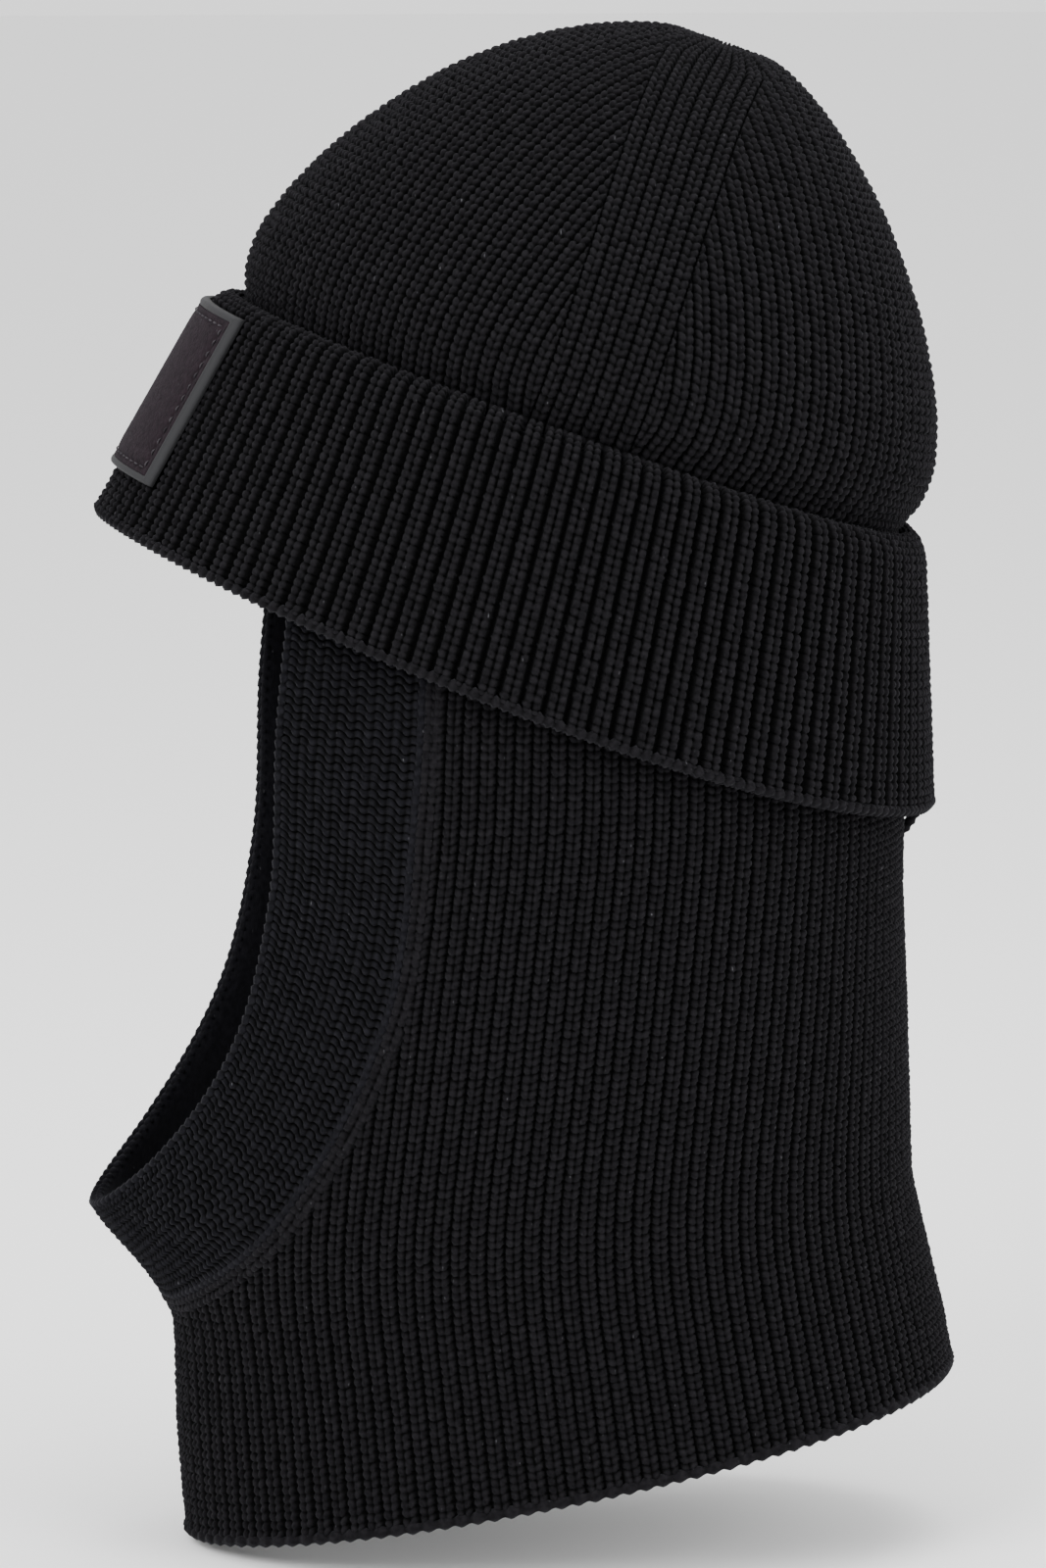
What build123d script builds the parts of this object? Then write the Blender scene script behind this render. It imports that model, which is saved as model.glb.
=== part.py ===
from build123d import *
import math
import os

# Knitted balaclava: a ribbed hat with a double cuff, linked to a ribbed hood and neck tube
# whose face opening is edged with a knitted band. Millimetres, +Z up, face towards -Y,
# wearer's left towards +X. The origin is the middle of the cuff's lower rim, at brow height.

# Driving dimensions
CUFF_LENGTH = 238.7            # lower rim of the cuff, front to back
CUFF_WIDTH = 180.0             # lower rim of the cuff, side to side
CUFF_HEIGHT = 67.5
CUFF_TOP_LENGTH = 199.2        # folded top edge of the cuff, front to back
CUFF_TOP_WIDTH = 172.0
HAT_TILT = 19.5                # degrees: the hat leans back, its front edge is the higher one
KNIT = 4.0                     # thickness of one knitted layer
LAYER_GAP = 0.3                # clearance between layers that lie on each other
RIM_DROOP = 6.0                # how far the sides of the rim hang below its front and back

# Cross-sections are egg-shaped: narrower over the forehead than over the back of the head
WIDEST_SHIFT = 0.15            # widest place, behind the middle, as a share of the half length
FRONT_POWER = 1.9              # superellipse power of the front half
BACK_POWER = 2.3               # superellipse power of the back half
EGG_POINTS = 28

# Hat axes: "along" runs from front to back in the plane of the rim, "up" runs along the hat's axis
CUFF_TOP_CENTRE = -7.4         # along, at the cuff's top edge
RIM_OVERLAP = 8.0              # layers are made this much too long and trimmed at the rim

# Crown above the cuff: (up, half length, centre along, half width)
CROWN_PROFILE = [
    (66.0, 91.0, -7.4, 77.4),
    (73.0, 95.6, -6.9, 80.0),
    (84.0, 96.0, -6.8, 80.0),
    (98.0, 91.6, -6.8, 76.5),
    (110.0, 85.6, -6.9, 72.0),
    (121.0, 79.0, -7.0, 67.0),
    (132.0, 70.6, -7.0, 60.5),
    (142.0, 62.0, -6.9, 54.0),
    (151.0, 52.4, -6.6, 46.5),
    (159.0, 42.0, -5.8, 38.0),
    (165.5, 31.5, -4.6, 29.0),
    (170.0, 21.5, -3.2, 20.5),
    (172.5, 12.0, -2.0, 12.0),
]
GATHER_RADIUS = 6.5            # drawn-in hole at the apex, filled by the gathered yarn

# Parts of the crown, from the rim to the apex: name, up from, up to
CROWN_LEVELS = [
    ("crown_inner_wall", -RIM_OVERLAP, 66.0),
    ("crown_side", 66.0, 93.0),
    ("crown_shoulder", 93.0, 128.0),
    ("crown_top", 128.0, 173.0),
]

# Hood and neck tube below the rim: (front y, front z), (back y, back z), half width
HOOD_STATIONS = [
    ((-108.0, -10.0), (104.2, -62.0), 80.5),
    ((-111.5, -58.0), (105.5, -90.0), 78.0),
    ((-114.5, -105.0), (106.5, -117.0), 75.0),
    ((-115.8, -149.2), (107.3, -141.3), 72.0),
    ((-101.5, -165.5), (109.5, -151.0), 70.0),
    ((-92.6, -178.5), (112.5, -163.5), 69.0),
    ((-92.0, -210.0), (116.5, -180.0), 70.5),
    ((-89.5, -240.8), (118.9, -193.9), 73.0),
]
CHIN_STATION = HOOD_STATIONS[3]    # the hood ends and the throat starts here
NECK_STATION = HOOD_STATIONS[5]    # the throat ends and the neck tube starts here

# Side-view curves (y, z) of the face opening: the band's free edge and its seam to the hood
FREE_EDGE = [
    (-60.0, 48.0), (-66.3, -12.0), (-68.4, -58.0), (-78.7, -99.2), (-98.7, -130.8), (-135.0, -168.0),
]
BAND_SEAM = [
    (-26.5, 48.0), (-30.0, -30.0), (-37.4, -87.4), (-55.3, -128.2), (-81.1, -162.5), (-130.0, -198.0),
]
FACE_REACH = 220.0             # how far in front of the face the cutting outlines reach
SEAM_REACH = 900.0             # height of the blocks that cut the closing seams
EDGE_CHAIN = 2.4               # width of the cast-off chain on the band's free edge
SEAM_CHAIN = 1.8               # width of the seam between band and hood
CLOSING_SEAM = 3.0             # width of the back and front closing seams
HEM_CHAIN = 3.0                # height of the cast-off chain at the hem
RIM_CHAIN = 3.2                # height of the linked chain under the rim
RIM_PROUD = 0.6                # how far that chain stands outside the cuff

# Patch sewn on the front of the cuff
PATCH_WIDTH = 60.0
PATCH_HEIGHT = 49.5
PATCH_BOTTOM = 13.0            # up, lower edge of the patch
FRONT_CLEAR = 20.0             # blocks that cut the patch stop this far in front of the hat's middle
PATCH_BACKING = 1.2
PATCH_BORDER = 2.2             # width of the raised border
PATCH_BORDER_RISE = 1.0
PATCH_FELT = 0.7
STITCH_LENGTH = 1.8
STITCH_PITCH = 3.0
STITCH_WIDTH = 0.6
STITCH_RISE = 0.3
STITCH_INSET = 1.6             # from the border's inner edge to the stitch line

# Seam tail left at the back of the rim
TAIL_WIDTH = 5.0
TAIL_LENGTH = 12.0
TAIL_THICKNESS = 3.0

HAT_TURN = Rot(X=-HAT_TILT)


def egg_face(front, back, half_width):
    """Egg-shaped face that spans the symmetry plane between two (y, z) points."""
    length = math.dist(front, back)
    step_y = (back[0] - front[0]) / length
    step_z = (back[1] - front[1]) / length
    widest = length / 2 * (1 + WIDEST_SHIFT)
    points = []
    for index in range(EGG_POINTS):
        angle = 2 * math.pi * index / EGG_POINTS
        forward = math.cos(angle) < 0
        power = 2 / (FRONT_POWER if forward else BACK_POWER)
        reach = widest if forward else length - widest
        along = widest + math.copysign(reach * abs(math.cos(angle)) ** power, math.cos(angle))
        across = math.copysign(half_width * abs(math.sin(angle)) ** power, math.sin(angle))
        points.append((across, front[0] + step_y * along, front[1] + step_z * along))
    return Face(Wire([Edge.make_spline(points, periodic=True)]))


def hat_face(up, half_length, centre, half_width):
    """Egg-shaped face square to the hat's axis, in hat axes."""
    return egg_face((centre - half_length, up), (centre + half_length, up), half_width)


def cuff_face(up, inset):
    """Section of the tapering cuff at a height, set in from its outer surface."""
    share = up / CUFF_HEIGHT
    half_length = CUFF_LENGTH / 2 + share * (CUFF_TOP_LENGTH - CUFF_LENGTH) / 2
    half_width = CUFF_WIDTH / 2 + share * (CUFF_TOP_WIDTH - CUFF_WIDTH) / 2
    return hat_face(up, half_length - inset, share * CUFF_TOP_CENTRE, half_width - inset)


def cuff_solid(top, inset):
    """Tapering block from below the rim up to a height, set in from the cuff's surface."""
    return loft([cuff_face(-RIM_OVERLAP, inset), cuff_face(top, inset)], ruled=True)


def rim_cylinder(drop):
    """Everything below the drooping rim surface, lowered by a drop; runs front to back."""
    half_width = CUFF_WIDTH / 2
    radius = (half_width ** 2 + RIM_DROOP ** 2) / (2 * RIM_DROOP)
    return Pos(Z=-radius - drop) * Rot(X=90) * Cylinder(radius, 2 * CUFF_LENGTH)


def crown_layer(inset):
    """Solid dome of the crown, from below the rim to the apex, set in along its surface."""
    lower = 2 * (KNIT + LAYER_GAP)
    faces = [cuff_face(-RIM_OVERLAP, lower + inset)]
    count = len(CROWN_PROFILE)
    for index, (up, half_length, centre, half_width) in enumerate(CROWN_PROFILE):
        before = CROWN_PROFILE[max(index - 1, 0)]
        after = CROWN_PROFILE[min(index + 1, count - 1)]
        rise = after[0] - before[0]
        growth = after[1] - before[1]
        size = math.hypot(rise, growth)
        inward = inset * rise / size
        down = max(-inset * growth / size, 0.0)
        faces.append(hat_face(up - down, half_length - inward, centre, half_width - inward))
    return loft(faces, ruled=True)


def hat_place(along, up):
    """World (y, z) of a point given in hat axes."""
    turn = math.radians(HAT_TILT)
    return (along * math.cos(turn) + up * math.sin(turn), up * math.cos(turn) - along * math.sin(turn))


def hood_solid(inset):
    """Solid tube of the hood and neck, from above the rim to the hem."""
    rim_inset = 2 * (KNIT + LAYER_GAP)
    faces = []
    for up in (RIM_OVERLAP, 0.0):
        share = up / CUFF_HEIGHT
        half_length = CUFF_LENGTH / 2 + share * (CUFF_TOP_LENGTH - CUFF_LENGTH) / 2 - rim_inset
        half_width = CUFF_WIDTH / 2 - rim_inset
        front = hat_place(inset - half_length, up)
        back = hat_place(half_length - inset, up)
        faces.append(egg_face(front, back, half_width - inset))
    for front, back, half_width in HOOD_STATIONS:
        length = math.dist(front, back)
        step = (inset * (back[0] - front[0]) / length, inset * (back[1] - front[1]) / length)
        near = (front[0] + step[0], front[1] + step[1])
        far = (back[0] - step[0], back[1] - step[1])
        faces.append(egg_face(near, far, half_width - inset))
    return loft(faces, ruled=True)


def front_region(curve, shift):
    """Block of everything in front of a side-view curve, moved back by a shift."""
    top = curve[0]
    bottom = curve[-1]
    edge = Spline([(y + shift, z) for y, z in curve])
    rest = Polyline(
        (bottom[0] + shift, bottom[1]),
        (-FACE_REACH, bottom[1]),
        (-FACE_REACH, top[1]),
        (top[0] + shift, top[1]),
    )
    return extrude(Plane.YZ * make_face([edge, rest]), amount=CUFF_WIDTH, both=True)


def below_station(station, raised):
    """Block of everything below the plane of one of the hood's stations, raised by an amount."""
    front, back, _ = station
    slope = math.degrees(math.atan2(back[1] - front[1], back[0] - front[0]))
    block = Box(2 * CUFF_WIDTH, 2 * CUFF_LENGTH, FACE_REACH, align=(Align.CENTER, Align.CENTER, Align.MAX))
    return Pos(0, front[0], front[1]) * Rot(X=slope) * Pos(0, 0, raised) * block


def level_block(low, high):
    """Block of everything between two heights, in hat axes."""
    block = Box(2 * CUFF_WIDTH, 2 * CUFF_LENGTH, high - low, align=(Align.CENTER, Align.CENTER, Align.MIN))
    return Pos(Z=low) * block


def closing_strip(side):
    """Narrow upright block on the symmetry plane, at the back (+1) or the front (-1)."""
    block = Box(CLOSING_SEAM, FACE_REACH, SEAM_REACH)
    return Pos(0, side * FACE_REACH / 2, 0) * block


def side_block(side):
    """Block of everything on the wearer's left (+1) or right (-1) of the symmetry plane."""
    block = Box(CUFF_WIDTH, 2 * CUFF_LENGTH, SEAM_REACH)
    return Pos(side * CUFF_WIDTH / 2, 0, 0) * block


def make_cuff():
    """Outer layer with the fold over its top, and the inner layer inside it."""
    bore = cuff_solid(CUFF_HEIGHT, 2 * KNIT + LAYER_GAP)
    pocket = cuff_solid(CUFF_HEIGHT - KNIT, KNIT)
    lining = cuff_solid(CUFF_HEIGHT - KNIT - LAYER_GAP, KNIT + LAYER_GAP)
    trim = rim_cylinder(0)
    outer = cuff_solid(CUFF_HEIGHT, 0) - pocket - bore - trim
    inner = lining - bore - trim
    return outer, inner


def make_rim_chain(hood_core):
    """Linked chain under both cuff layers, round the outside of the hood."""
    ring = cuff_solid(RIM_OVERLAP, -RIM_PROUD)
    ring = ring & rim_cylinder(0)
    ring = ring - rim_cylinder(RIM_CHAIN)
    return HAT_TURN * ring - hood_core


def make_gather():
    """Yarn drawn together in the hole at the crown's apex."""
    apex = CROWN_PROFILE[-1]
    disc = Cylinder(GATHER_RADIUS, KNIT, align=(Align.CENTER, Align.CENTER, Align.MAX))
    return Pos(0, apex[2], apex[0]) * disc


def patch_block(inset):
    """Upright block over the patch, narrowed all round by an inset."""
    block = Box(PATCH_WIDTH - 2 * inset, CUFF_LENGTH, PATCH_HEIGHT - 2 * inset)
    return Pos(0, -CUFF_LENGTH / 2 - FRONT_CLEAR, PATCH_BOTTOM + PATCH_HEIGHT / 2) * block


def stitch_blocks():
    """Short blocks along the patch's stitch line, one for each stitch."""
    half_width = PATCH_WIDTH / 2 - PATCH_BORDER - STITCH_INSET
    half_height = PATCH_HEIGHT / 2 - PATCH_BORDER - STITCH_INSET
    middle = PATCH_BOTTOM + PATCH_HEIGHT / 2
    blocks = []
    for count_along, half, offset, upright in (
        (int(2 * half_width / STITCH_PITCH), half_width, half_height, False),
        (int(2 * half_height / STITCH_PITCH), half_height, half_width, True),
    ):
        pitch = 2 * half / count_along
        for index in range(count_along):
            place = (index + 0.5) * pitch - half
            for side in (-offset, offset):
                if upright:
                    block = Box(STITCH_WIDTH, CUFF_LENGTH, STITCH_LENGTH)
                    blocks.append(Pos(side, -CUFF_LENGTH / 2 - FRONT_CLEAR, middle + place) * block)
                else:
                    block = Box(STITCH_LENGTH, CUFF_LENGTH, STITCH_WIDTH)
                    blocks.append(Pos(place, -CUFF_LENGTH / 2 - FRONT_CLEAR, middle + side) * block)
    return blocks


def make_patch():
    """Rubber backing with its raised border, felt face and the stitches on it."""
    backing_top = cuff_solid(CUFF_HEIGHT, -PATCH_BACKING)
    border_top = cuff_solid(CUFF_HEIGHT, -PATCH_BACKING - PATCH_BORDER_RISE)
    felt_top = cuff_solid(CUFF_HEIGHT, -PATCH_BACKING - PATCH_FELT)
    stitch_top = cuff_solid(CUFF_HEIGHT, -PATCH_BACKING - PATCH_FELT - STITCH_RISE)
    cuff = cuff_solid(CUFF_HEIGHT, 0)
    window = patch_block(PATCH_BORDER)
    backing = (border_top & patch_block(0)) - cuff
    backing = backing - (window - backing_top)
    felt = (felt_top & window) - backing_top
    stitch_layer = stitch_top - felt_top
    stitches = []
    for block in stitch_blocks():
        stitches.extend((stitch_layer & block).solids())
    return backing, felt, Compound(children=stitches)


def make_tail():
    """Short tail of the back seam, hanging from the rim."""
    tail = Box(TAIL_THICKNESS, TAIL_WIDTH, TAIL_LENGTH, align=(Align.CENTER, Align.MAX, Align.MAX))
    return Pos(0, CUFF_LENGTH / 2 - LAYER_GAP, -RIM_CHAIN) * tail


def write(name, shape):
    export_step(shape, os.path.join("parts", name + ".step"))


def main():
    os.makedirs("parts", exist_ok=True)

    cuff_outer, cuff_inner = make_cuff()
    back_strip = closing_strip(1)
    write("cuff_outer", HAT_TURN * (cuff_outer - back_strip))
    write("cuff_back_seam", HAT_TURN * (cuff_outer & back_strip))
    write("cuff_inner", HAT_TURN * cuff_inner)

    gather = make_gather()
    crown = crown_layer(0) - crown_layer(KNIT) - rim_cylinder(0)
    crown = crown - gather - Pos(Z=-KNIT) * gather
    for name, low, high in CROWN_LEVELS:
        write(name, HAT_TURN * ((crown - back_strip) & level_block(low, high)))
    write("crown_back_seam", HAT_TURN * (crown & back_strip))
    write("crown_gather", HAT_TURN * gather)

    hood_core = hood_solid(0)
    tube = (hood_core - hood_solid(KNIT)) & (HAT_TURN * rim_cylinder(0))
    write("rim_linking", make_rim_chain(hood_core))
    write("rear_seam_tail", HAT_TURN * make_tail() - hood_core)

    hem_block = below_station(HOOD_STATIONS[-1], HEM_CHAIN)
    write("hem_cast_off", tube & hem_block)
    tube = tube - hem_block

    before_edge = front_region(FREE_EDGE, 0)
    before_band = front_region(FREE_EDGE, EDGE_CHAIN)
    before_seam = front_region(BAND_SEAM, 0)
    before_hood = front_region(BAND_SEAM, SEAM_CHAIN)
    surround = tube - before_edge
    write("face_band_edge", surround & before_band)
    write("face_band", (surround - before_band) & before_seam)
    write("face_band_seam", (surround - before_seam) & before_hood)
    hood = surround - before_hood
    throat_block = below_station(CHIN_STATION, 0)
    neck_block = below_station(NECK_STATION, 0)
    front_strip = closing_strip(-1)
    write("hood_panel", hood - throat_block)
    throat = (hood & throat_block) - neck_block - front_strip
    for name, side in (("throat_left", 1), ("throat_right", -1)):
        write(name, throat & side_block(side))
    write("neck_tube", (hood & neck_block) - front_strip)
    write("neck_front_seam", hood & front_strip)

    backing, felt, stitches = make_patch()
    write("patch_backing", HAT_TURN * backing)
    write("patch_felt", HAT_TURN * felt)
    write("patch_stitches", HAT_TURN * stitches)


main()
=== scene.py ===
import math
import bpy
import numpy as np
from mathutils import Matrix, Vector


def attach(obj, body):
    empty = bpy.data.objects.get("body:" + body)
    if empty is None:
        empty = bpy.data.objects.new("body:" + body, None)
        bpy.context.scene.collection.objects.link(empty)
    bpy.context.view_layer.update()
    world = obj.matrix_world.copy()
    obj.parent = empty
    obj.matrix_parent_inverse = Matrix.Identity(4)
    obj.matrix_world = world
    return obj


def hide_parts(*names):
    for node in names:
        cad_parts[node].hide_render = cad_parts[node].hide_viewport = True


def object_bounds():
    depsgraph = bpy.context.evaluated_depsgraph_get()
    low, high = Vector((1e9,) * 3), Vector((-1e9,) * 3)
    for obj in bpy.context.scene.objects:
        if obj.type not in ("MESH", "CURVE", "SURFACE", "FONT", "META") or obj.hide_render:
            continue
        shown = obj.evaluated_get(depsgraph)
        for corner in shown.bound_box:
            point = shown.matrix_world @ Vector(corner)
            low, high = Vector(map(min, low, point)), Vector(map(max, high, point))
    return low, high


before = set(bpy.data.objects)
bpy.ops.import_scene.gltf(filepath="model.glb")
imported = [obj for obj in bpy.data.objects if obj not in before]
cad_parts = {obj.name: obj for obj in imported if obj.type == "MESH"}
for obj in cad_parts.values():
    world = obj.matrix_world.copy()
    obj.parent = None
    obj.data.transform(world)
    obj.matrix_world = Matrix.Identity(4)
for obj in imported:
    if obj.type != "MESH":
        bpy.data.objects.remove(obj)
cad_box = [list(corner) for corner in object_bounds()]

# Knitted balaclava. Lengths here are millimetres in the part's own frame; a mesh is scaled to
# metres when it is made. Each knitted piece is a grid of stitches laid on a smooth skin.
MM = 0.001
CHANCE = np.random.default_rng(7)
DETAIL = 2

# The hat's frame, as in the CAD model: "along" runs front to back in the rim's plane, "up" along its axis
HAT_TILT = math.radians(19.5)
CUFF_LENGTH = 238.7
CUFF_WIDTH = 180.0
CUFF_HEIGHT = 67.5
CUFF_TOP_LENGTH = 199.2
CUFF_TOP_WIDTH = 172.0
CUFF_TOP_CENTRE = -7.4
RIM_DROOP = 6.0
LAYERS = 8.6                    # both cuff layers with their clearance
KNIT = 4.0
WIDEST_SHIFT = 0.15
FRONT_POWER = 1.9
BACK_POWER = 2.3

# Crown: (up, half length, centre along, half width); the last rows turn down into the gathered apex
CROWN_PROFILE = [
    (50.0, 96.0, -5.5, 78.2),
    (60.0, 93.0, -6.6, 77.6),
    (66.0, 92.0, -7.4, 77.4),
    (73.0, 95.6, -6.9, 80.0),
    (84.0, 96.0, -6.8, 80.0),
    (98.0, 91.6, -6.8, 76.5),
    (110.0, 85.6, -6.9, 72.0),
    (121.0, 79.0, -7.0, 67.0),
    (132.0, 70.6, -7.0, 60.5),
    (142.0, 62.0, -6.9, 54.0),
    (151.0, 52.4, -6.6, 46.5),
    (159.0, 42.0, -5.8, 38.0),
    (165.5, 31.5, -4.6, 29.0),
    (170.0, 21.5, -3.2, 20.5),
    (172.3, 13.5, -2.2, 13.5),
    (171.6, 8.5, -1.8, 8.5),
    (168.5, 5.0, -1.5, 5.0),
    (165.0, 3.0, -1.5, 3.0),
]

# Hood and neck: front (y, z), back (y, z), half width
HOOD_STATIONS = [
    (-94.5, 65.0, 101.0, -2.0, 78.0),
    (-104.3, 36.9, 104.4, -37.0, 81.4),
    (-108.0, -10.0, 104.2, -62.0, 80.5),
    (-111.5, -58.0, 105.5, -90.0, 78.0),
    (-114.5, -105.0, 106.5, -117.0, 75.0),
    (-115.8, -149.2, 107.3, -141.3, 72.0),
    (-101.5, -165.5, 109.5, -151.0, 70.0),
    (-92.6, -178.5, 112.5, -163.5, 69.0),
    (-92.0, -210.0, 116.5, -180.0, 70.5),
    (-89.5, -240.8, 118.9, -193.9, 73.0),
]
HEM_SLOPE = 0.225               # rise of the hem towards the back
HEM_LEVEL = -220.6              # height of the hem over the origin
FREE_EDGE = [(-60, 48), (-66.3, -12), (-68.4, -58), (-78.7, -99.2), (-98.7, -130.8), (-115.8, -149.2)]
BAND_SEAM = [(-26.5, 48), (-30, -30), (-37.4, -87.4), (-55.3, -128.2), (-81.1, -162.5), (-93.2, -173.5)]

# Knitting: counts of wales, and stitch widths and heights in millimetres
CUFF_RIBS = 106
CUFF_COURSE = 2.08
SPINE_WALES = 6
GORE_WALES = 24
QUARTER_WALES = SPINE_WALES + GORE_WALES
CROWN_STEP = 0.6                # between the rows of the crown's skin
SPINE_SHIFT = 0.017             # share of the perimeter by which the side spines sit forward
CROWN_COURSE = 2.4
HOOD_WALES = 112
HOOD_TOP_PITCH = 4.45
HOOD_COURSE = 2.2
BAND_STITCHES = 8
BAND_COURSE = 2.2
LEG_RISE = 1.9                  # how far a stitch leg stands out from its lowest edge
LEG_LEAN = 27.0                 # degrees from the wale's direction
TABLE_COLUMNS = 720


def unit(vectors):
    """Vectors scaled to length one."""
    length = np.linalg.norm(vectors, axis=-1, keepdims=True)
    return vectors / np.maximum(length, 1e-9)


def smooth_rows(table, reach):
    """Rounds a table's rows off with a moving average, its first and last rows kept."""
    for _ in range(3):
        padded = np.concatenate([np.repeat(table[:1], reach, 0), table, np.repeat(table[-1:], reach, 0)])
        total = np.cumsum(np.concatenate([np.zeros_like(padded[:1]), padded]), axis=0)
        width = 2 * reach + 1
        table = (total[width:] - total[:-width]) / width
    return table


def egg(length, half_width, count=TABLE_COLUMNS):
    """Egg-shaped section: (along, across) at even steps of its perimeter, from the front round by +X."""
    widest = length / 2 * (1 + WIDEST_SHIFT)
    angle = np.linspace(math.pi, -math.pi, 4 * count + 1)
    cosine = np.cos(angle)
    sine = np.sin(angle)
    power = np.where(cosine < 0, 2 / FRONT_POWER, 2 / BACK_POWER)
    reach = np.where(cosine < 0, widest, length - widest)
    along = widest + np.sign(cosine) * reach * np.abs(cosine) ** power
    across = np.sign(sine) * half_width * np.abs(sine) ** power
    walked = np.concatenate([[0], np.cumsum(np.hypot(np.diff(along), np.diff(across)))])
    even = np.linspace(0, walked[-1], count, endpoint=False)
    return np.interp(even, walked, along), np.interp(even, walked, across), walked[-1]


def hat_points(across, along, up):
    """World points of places given in hat axes."""
    y = along * math.cos(HAT_TILT) + up * math.sin(HAT_TILT)
    z = up * math.cos(HAT_TILT) - along * math.sin(HAT_TILT)
    return np.stack([across, y, z], axis=-1)


def height_in_hat(points):
    """How far up the hat's axis world points lie."""
    return points[..., 2] * math.cos(HAT_TILT) + points[..., 1] * math.sin(HAT_TILT)


def distances(path):
    """Distance walked along a path at each of its points."""
    return np.concatenate([[0], np.cumsum(np.linalg.norm(np.diff(path, axis=0), axis=1))])


def resample(even, walked, table):
    """A table's columns at other distances along its rows."""
    return np.stack([np.interp(even, walked, column) for column in table.T], axis=-1)


class Skin:
    """A smooth surface that closes on itself: rows of points down it, columns round it."""

    def __init__(self, points, perimeters=None):
        self.points = points
        self.perimeters = perimeters
        round_step = np.roll(points, -1, 1) - np.roll(points, 1, 1)
        down_step = np.gradient(points, axis=0)
        normals = unit(np.cross(round_step, down_step))
        outward = points - points.mean(axis=(0, 1))
        if (normals * outward).sum() < 0:
            normals = -normals
        self.normals = normals

    def at(self, u, v):
        """Points and outward normals at shares u round the skin and v down it."""
        rows, columns = self.points.shape[:2]
        x = (u % 1.0) * columns
        y = np.clip(v, 0, 1) * (rows - 1)
        left = np.floor(x).astype(int) % columns
        right = (left + 1) % columns
        top = np.minimum(np.floor(y).astype(int), rows - 2)
        side = (x - np.floor(x))[..., None]
        drop = (y - top)[..., None]
        found = []
        for table in (self.points, self.normals):
            upper = table[top, left] * (1 - side) + table[top, right] * side
            lower = table[top + 1, left] * (1 - side) + table[top + 1, right] * side
            found.append(upper * (1 - drop) + lower * drop)
        return found[0], unit(found[1])


def profile_rows(profile, spacing):
    """Even steps along a profile whose first two columns are a height and a half length."""
    profile = np.array(profile, float)
    steps = np.hypot(np.diff(profile[:, 0]), np.diff(profile[:, 1]))
    walked = np.concatenate([[0], np.cumsum(steps)])
    even = np.arange(0, walked[-1], spacing)
    return smooth_rows(resample(even, walked, profile), max(int(2.5 / spacing), 1))


def crown_skin():
    """Skin of the crown, its first row at the apex."""
    rows = profile_rows(CROWN_PROFILE, CROWN_STEP)[::-1]
    points = []
    perimeters = []
    for up, half_length, centre, half_width in rows:
        along, across, perimeter = egg(2 * half_length, half_width)
        points.append(hat_points(across, along + centre - half_length, up))
        perimeters.append(perimeter)
    return Skin(np.array(points), np.array(perimeters))


def cuff_skin(profile):
    """Skin on the tapering cuff; the profile is (up, inset) from the rim upwards."""
    rows = profile_rows(profile, 0.5)[::-1]
    points = []
    for up, inset in rows:
        share = up / CUFF_HEIGHT
        half_length = CUFF_LENGTH / 2 + share * (CUFF_TOP_LENGTH - CUFF_LENGTH) / 2 - inset
        half_width = CUFF_WIDTH / 2 + share * (CUFF_TOP_WIDTH - CUFF_WIDTH) / 2 - inset
        along, across, _ = egg(2 * half_length, half_width)
        droop = RIM_DROOP * (across / (CUFF_WIDTH / 2)) ** 2 * max(1 - share, 0)
        points.append(hat_points(across, along + share * CUFF_TOP_CENTRE - half_length, up - droop))
    return Skin(np.array(points))


def hood_level(points):
    """Knitting level of points: level courses at the top, parallel to the hem at the bottom."""
    y = points[..., 1]
    z = points[..., 2]
    return np.where(z > 0, z, z / (1 + HEM_SLOPE / HEM_LEVEL * y))


def hood_skin(top_level, bottom_level):
    """Skin of the hood and neck whose rows are knitting levels, from the top one down."""
    stations = np.array(HOOD_STATIONS, float)
    walked = np.concatenate([[0], np.cumsum(np.hypot(np.diff(stations[:, 0]), np.diff(stations[:, 1])))])
    even = np.arange(0, walked[-1], 0.7)
    rows = smooth_rows(resample(even, walked, stations), 5)
    fan = []
    for front_y, front_z, back_y, back_z, half_width in rows:
        length = math.hypot(back_y - front_y, back_z - front_z)
        along, across, _ = egg(length, half_width)
        step_y = (back_y - front_y) / length
        step_z = (back_z - front_z) / length
        fan.append(np.stack([across, front_y + step_y * along, front_z + step_z * along], axis=-1))
    fan = np.array(fan)
    levels = hood_level(fan)
    wanted = np.linspace(top_level, bottom_level, 500)
    table = np.empty((len(wanted), fan.shape[1], 3))
    for column in range(fan.shape[1]):
        order = np.argsort(levels[:, column])
        for axis in range(3):
            table[:, column, axis] = np.interp(wanted, levels[order, column], fan[order, column, axis])
    return Skin(table)


def curve_points(points, count):
    """Smooth side-view curve through (y, z) points."""
    points = np.array(points, float)
    knots = np.concatenate([[0], np.cumsum(np.hypot(*np.diff(points, axis=0).T))])
    slopes = np.gradient(points, knots, axis=0)
    at = np.linspace(0, knots[-1], count)
    span = np.clip(np.searchsorted(knots, at, side="right") - 1, 0, len(knots) - 2)
    width = (knots[span + 1] - knots[span])[:, None]
    t = ((at - knots[span])[:, None]) / width
    start = (1 + 2 * t) * (1 - t) ** 2 * points[span] + t * (1 - t) ** 2 * width * slopes[span]
    end = t * t * (3 - 2 * t) * points[span + 1] + t * t * (t - 1) * width * slopes[span + 1]
    return start + end


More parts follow.
